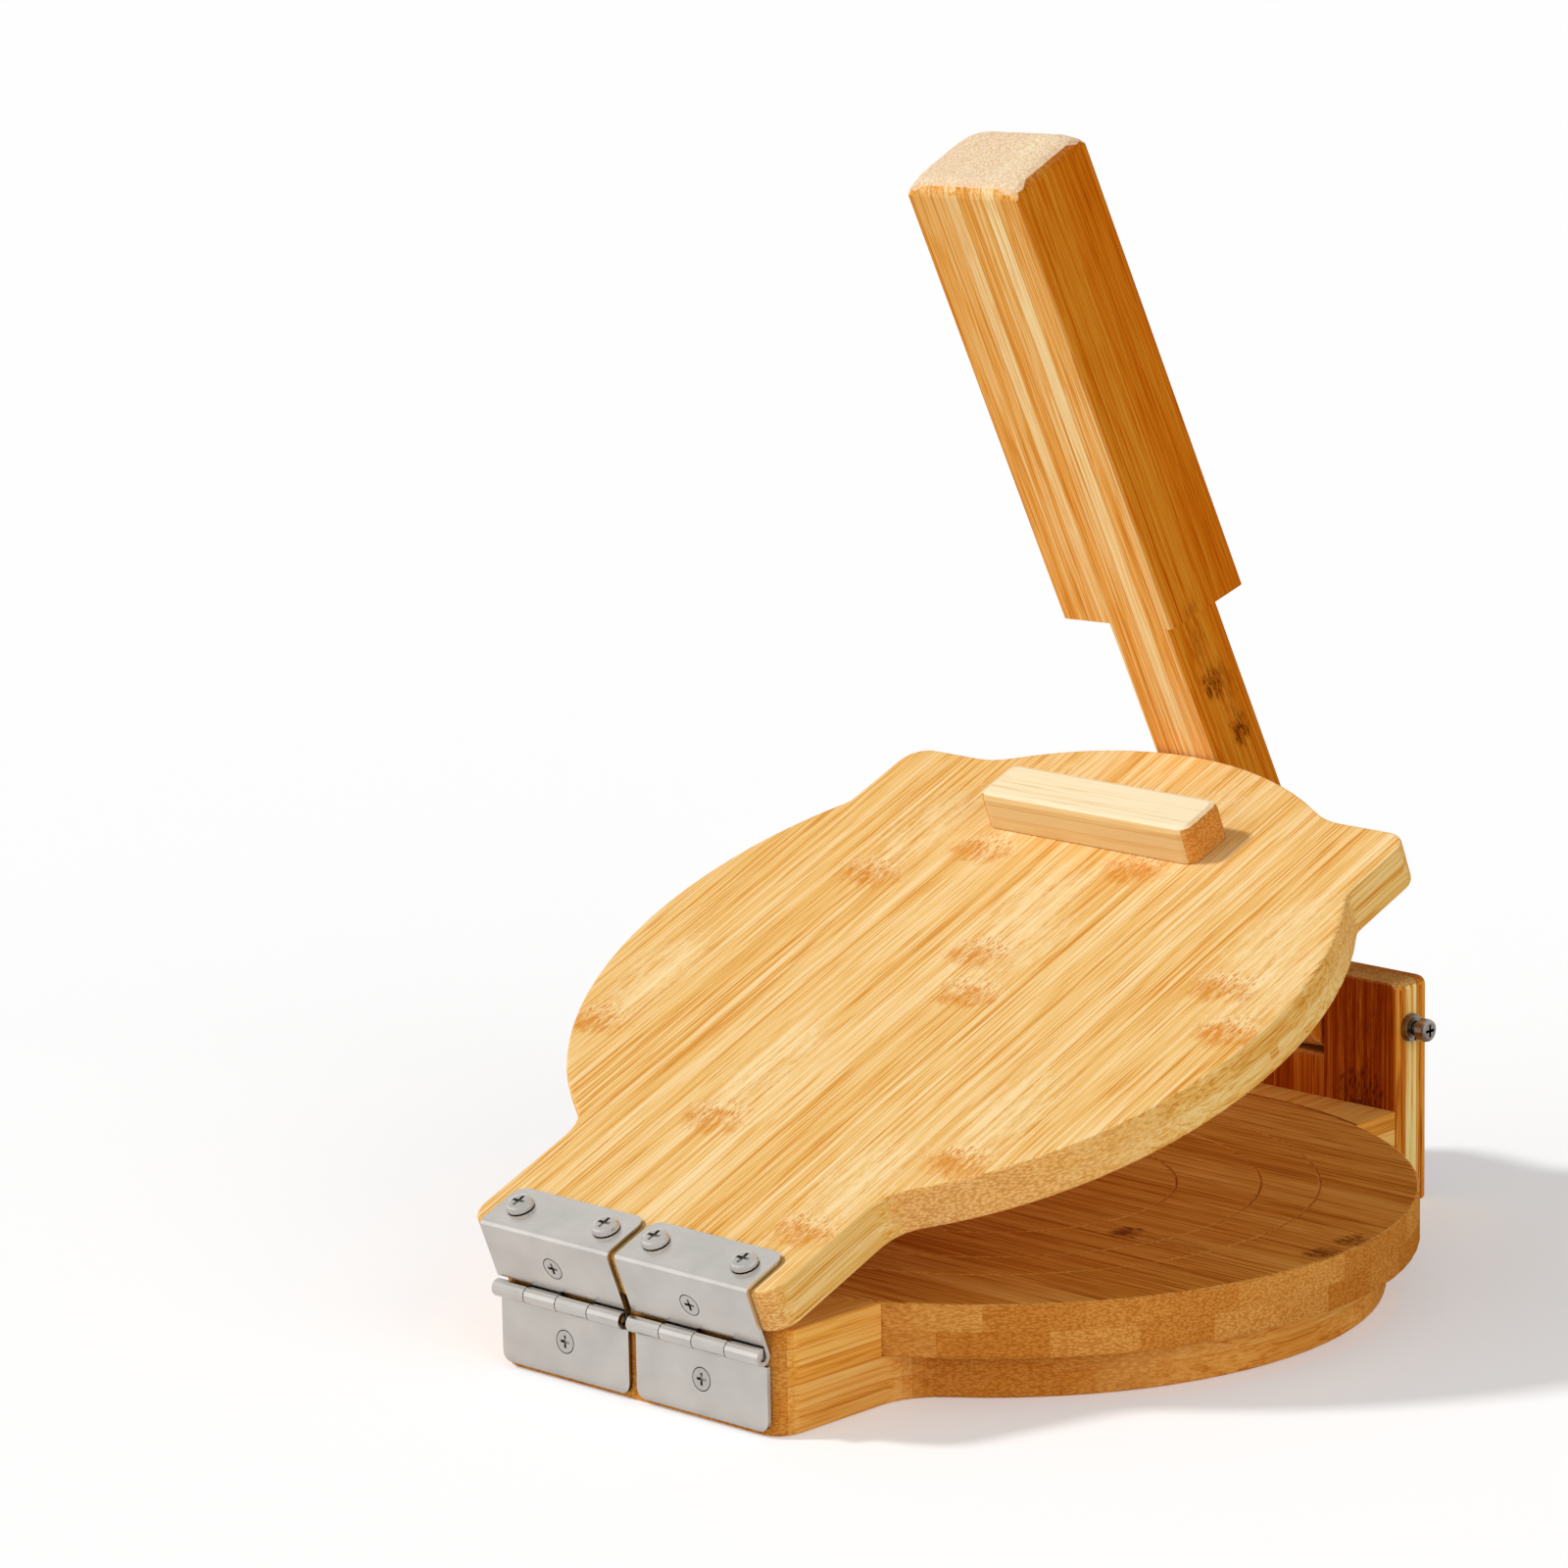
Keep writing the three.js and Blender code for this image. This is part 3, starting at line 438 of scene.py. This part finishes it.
def wood_finishes():
    """A finish for each kind of wooden piece. The grain of a moving piece is tilted as it rests."""
    hinge, pivot = (Vector(joint["pos_m"]) for joint in frame["joints"])
    lid_up = tilted(Z_AXIS, LID_OPENING)
    lid = grain_frame(tilted(Y_AXIS, LID_OPENING), lid_up, hinge)
    bar = grain_frame(X_AXIS, lid_up, hinge + lid_up * BAR_RISE)
    lever_along, lever_through = (
        tilted(tilted(axis, -LEVER_LEAN, "Y"), LEVER_TILT) for axis in (Z_AXIS, X_AXIS))
    lever = grain_frame(lever_along, lever_through, pivot)
    return {
        "lid_bamboo": bamboo(
            "lid", lid, (colour(250, 220, 168), colour(238, 190, 112), colour(216, 144, 58)),
            end_tone=colour(255, 196, 116), edge_tone=colour(255, 248, 220), ply=6.9, ply_contrast=.1,
            nodes=LID_NODES, node_tone=colour(216, 132, 30), core_tone=colour(252, 228, 176), seed=1),
        "bar_bamboo": bamboo(
            "bar", bar, (colour(248, 238, 214), colour(246, 228, 188), colour(228, 172, 96)),
            end_tone=colour(226, 150, 46), edge_tone=colour(242, 222, 188), ply=4.2, ply_contrast=.12,
            contrast=.4, end_share=.9, end_blocks=0, seed=2),
        "press_bamboo": bamboo(
            "press", resting_grain("press_disc", X_AXIS, Z_AXIS),
            (colour(248, 188, 102), colour(228, 151, 60), colour(188, 104, 30)),
            end_tone=colour(210, 134, 52), ply=8, bands=.6, end_blocks=.7, nodes=PRESS_NODES,
            node_tone=colour(110, 48, 14), core_tone=colour(170, 96, 36), node_size=(12, 9), seed=3),
        "base_bamboo": bamboo(
            "base", resting_grain("base_board", Y_AXIS, Z_AXIS),
            (colour(250, 196, 112), colour(240, 166, 74), colour(206, 122, 36)),
            end_tone=colour(214, 136, 50), ply=7.2, ply_contrast=.1, contrast=.8, seed=4),
        "block_bamboo": bamboo(
            "block", resting_grain("hinge_block", Y_AXIS, Z_AXIS),
            (colour(252, 198, 108), colour(240, 164, 66), colour(204, 120, 32)),
            end_tone=colour(214, 142, 62), contrast=.8, seed=5),
        # The upright's broad faces, front and back, are darkened with painted shade.
        "upright_bamboo": bamboo(
            "upright", resting_grain("upright", Z_AXIS, Y_AXIS),
            (colour(255, 232, 156), colour(246, 166, 62), colour(188, 94, 18)),
            end_tone=colour(196, 124, 50), broad_grain_and_shade_tone=colour(216, 176, 146), ply=5.34, ply_contrast=.62,
            nodes=UPRIGHT_NODES, node_tone=colour(96, 40, 20), core_tone=colour(150, 70, 30),
            node_size=(22, 26), seed=6),
        # The lever's broad faces, its sides, are tinted to their face grain's deeper colour and darkened with
        # painted shade.
        "lever_bamboo": bamboo(
            "lever", lever, (colour(253, 226, 168), colour(238, 168, 76), colour(206, 118, 28)),
            end_tone=colour(244, 232, 212), broad_grain_and_shade_tone=colour(220, 174, 80), pore_tone=colour(240, 222, 194),
            ply=5, ply_contrast=.1, contrast=.72, bands=.3, pale_ply=0, end_range=(.5, .95), end_wear=.9,
            end_blocks=0, nodes=LEVER_NODES, node_tone=colour(104, 48, 12), core_tone=colour(176, 104, 34),
            node_size=(10, 9), seed=7),
    }


def steel_finishes():
    return {
        "hinge_steel": steel(
            "hinge", colour(242, 236, 229), roughness=.18, scratch_length=14, shade_reach=.008),
        "screw_steel": steel(
            "screw", colour(228, 223, 217), roughness=.15, scratch_length=2, shade_reach=.0009),
    }


BOLT_NODES = ("pivot_bolt", "pivot_washer_right", "pivot_spring_washer", "pivot_washer_left", "pivot_nut")


def dress():
    """Gives every node the finish of its slot, and the pivot's fasteners a darker steel."""
    finishes = {**wood_finishes(), **steel_finishes()}
    bolt_steel = steel(
        "bolt", colour(172, 162, 152), roughness=.2, scratch_length=2, shade_reach=.0024)
    for part in frame["record"]["subparts"]:
        node = part["node"]
        finish = bolt_steel if node in BOLT_NODES else finishes[part["material_slot"]]
        for slot in frame["nodes"][node].material_slots:
            slot.material = finish


def view_axes():
    """The camera's right, up and back."""
    azimuth, elevation, roll = radians(VIEW_AZIMUTH), radians(VIEW_ELEVATION), radians(VIEW_ROLL)
    back = Vector((sin(azimuth) * cos(elevation), -cos(azimuth) * cos(elevation), sin(elevation)))
    right = Vector((cos(azimuth), sin(azimuth), 0))
    up = back.cross(right)
    return right * cos(roll) + up * sin(roll), up * cos(roll) - right * sin(roll), back


def put(name, data):
    """Puts a lamp, camera or mesh into the scene."""
    holder = bpy.data.objects.new(name, data)
    bpy.context.collection.objects.link(holder)
    return holder


def camera():
    right, up, back = view_axes()
    eye = VIEW_CENTRE + back * VIEW_DISTANCE + right * VIEW_RIGHT + up * VIEW_UP
    lens = bpy.data.cameras.new("camera")
    lens.sensor_width = SENSOR_MM
    lens.lens = FOCAL_SHARE * SENSOR_MM
    lens.clip_end = FAR
    holder = put("camera", lens)
    holder.matrix_world = Matrix.Translation(eye) @ Matrix((right, up, back)).transposed().to_4x4()
    bpy.context.scene.camera = holder


def lamp(name, direction, strength, softness):
    """An even light over the whole floor, which metal doesn't reflect; softness is in degrees."""
    sun = bpy.data.lights.new(name, "SUN")
    sun.energy = strength
    sun.angle = radians(softness)
    holder = put(name, sun)
    holder.visible_glossy = False
    holder.rotation_euler = Vector(direction).to_track_quat("Z", "Y").to_euler()


def surroundings():
    """White to the camera, a white band under a greyer sky to metal, and an even dim light on the object."""
    world = bpy.data.worlds.new("studio")
    bpy.context.scene.world = world
    world.use_nodes = True
    nodes = Nodes(world.node_tree)
    path = nodes.add("ShaderNodeLightPath").outputs
    outlook = nodes.add("ShaderNodeTexCoord").outputs["Generated"]
    height = nodes.add("ShaderNodeSeparateXYZ", {0: outlook}).outputs["Z"]
    reflected = nodes.product(path["Is Glossy Ray"], nodes.span(height, *BAND_HEIGHTS, 1, SKY_SHARE))
    seen = nodes.math("MAXIMUM", path["Is Camera Ray"], path["Is Transmission Ray"])
    shown = nodes.math("MAXIMUM", seen, reflected)
    background = nodes.tree.nodes["Background"].inputs
    background["Color"].default_value = WHITE
    strength = nodes.math("MULTIPLY_ADD", shown, 1 - FILL_STRENGTH, FILL_STRENGTH)
    nodes.feed(background["Strength"], strength)


def floor():
    """A wide pale plane just under the object, which glows a little to the camera."""
    corners = [(x * FLOOR_REACH, y * FLOOR_REACH, 0) for x, y in ((-1, -1), (1, -1), (1, 1), (-1, 1))]
    mesh = bpy.data.meshes.new("floor")
    mesh.from_pydata(corners, [], [(0, 1, 2, 3)])
    ground = put("floor", mesh)
    ground.location.z = CAD_BOX[0].z
    shader = Shader("floor")
    path = shader.add("ShaderNodeLightPath").outputs
    shader.surface["Base Color"].default_value = FLOOR_TONE
    shader.surface["Roughness"].default_value = FLOOR_ROUGHNESS
    shader.surface["Specular IOR Level"].default_value = 0
    shader.surface["Emission Color"].default_value = WHITE
    shader.feed(shader.surface["Emission Strength"], shader.product(path["Is Camera Ray"], FLOOR_GLOW))
    mesh.materials.append(shader.material)


camera()
surroundings()
floor()
for lamp_values in LAMPS:
    lamp(*lamp_values)
dress()
bpy.context.scene.view_settings.view_transform = "Standard"
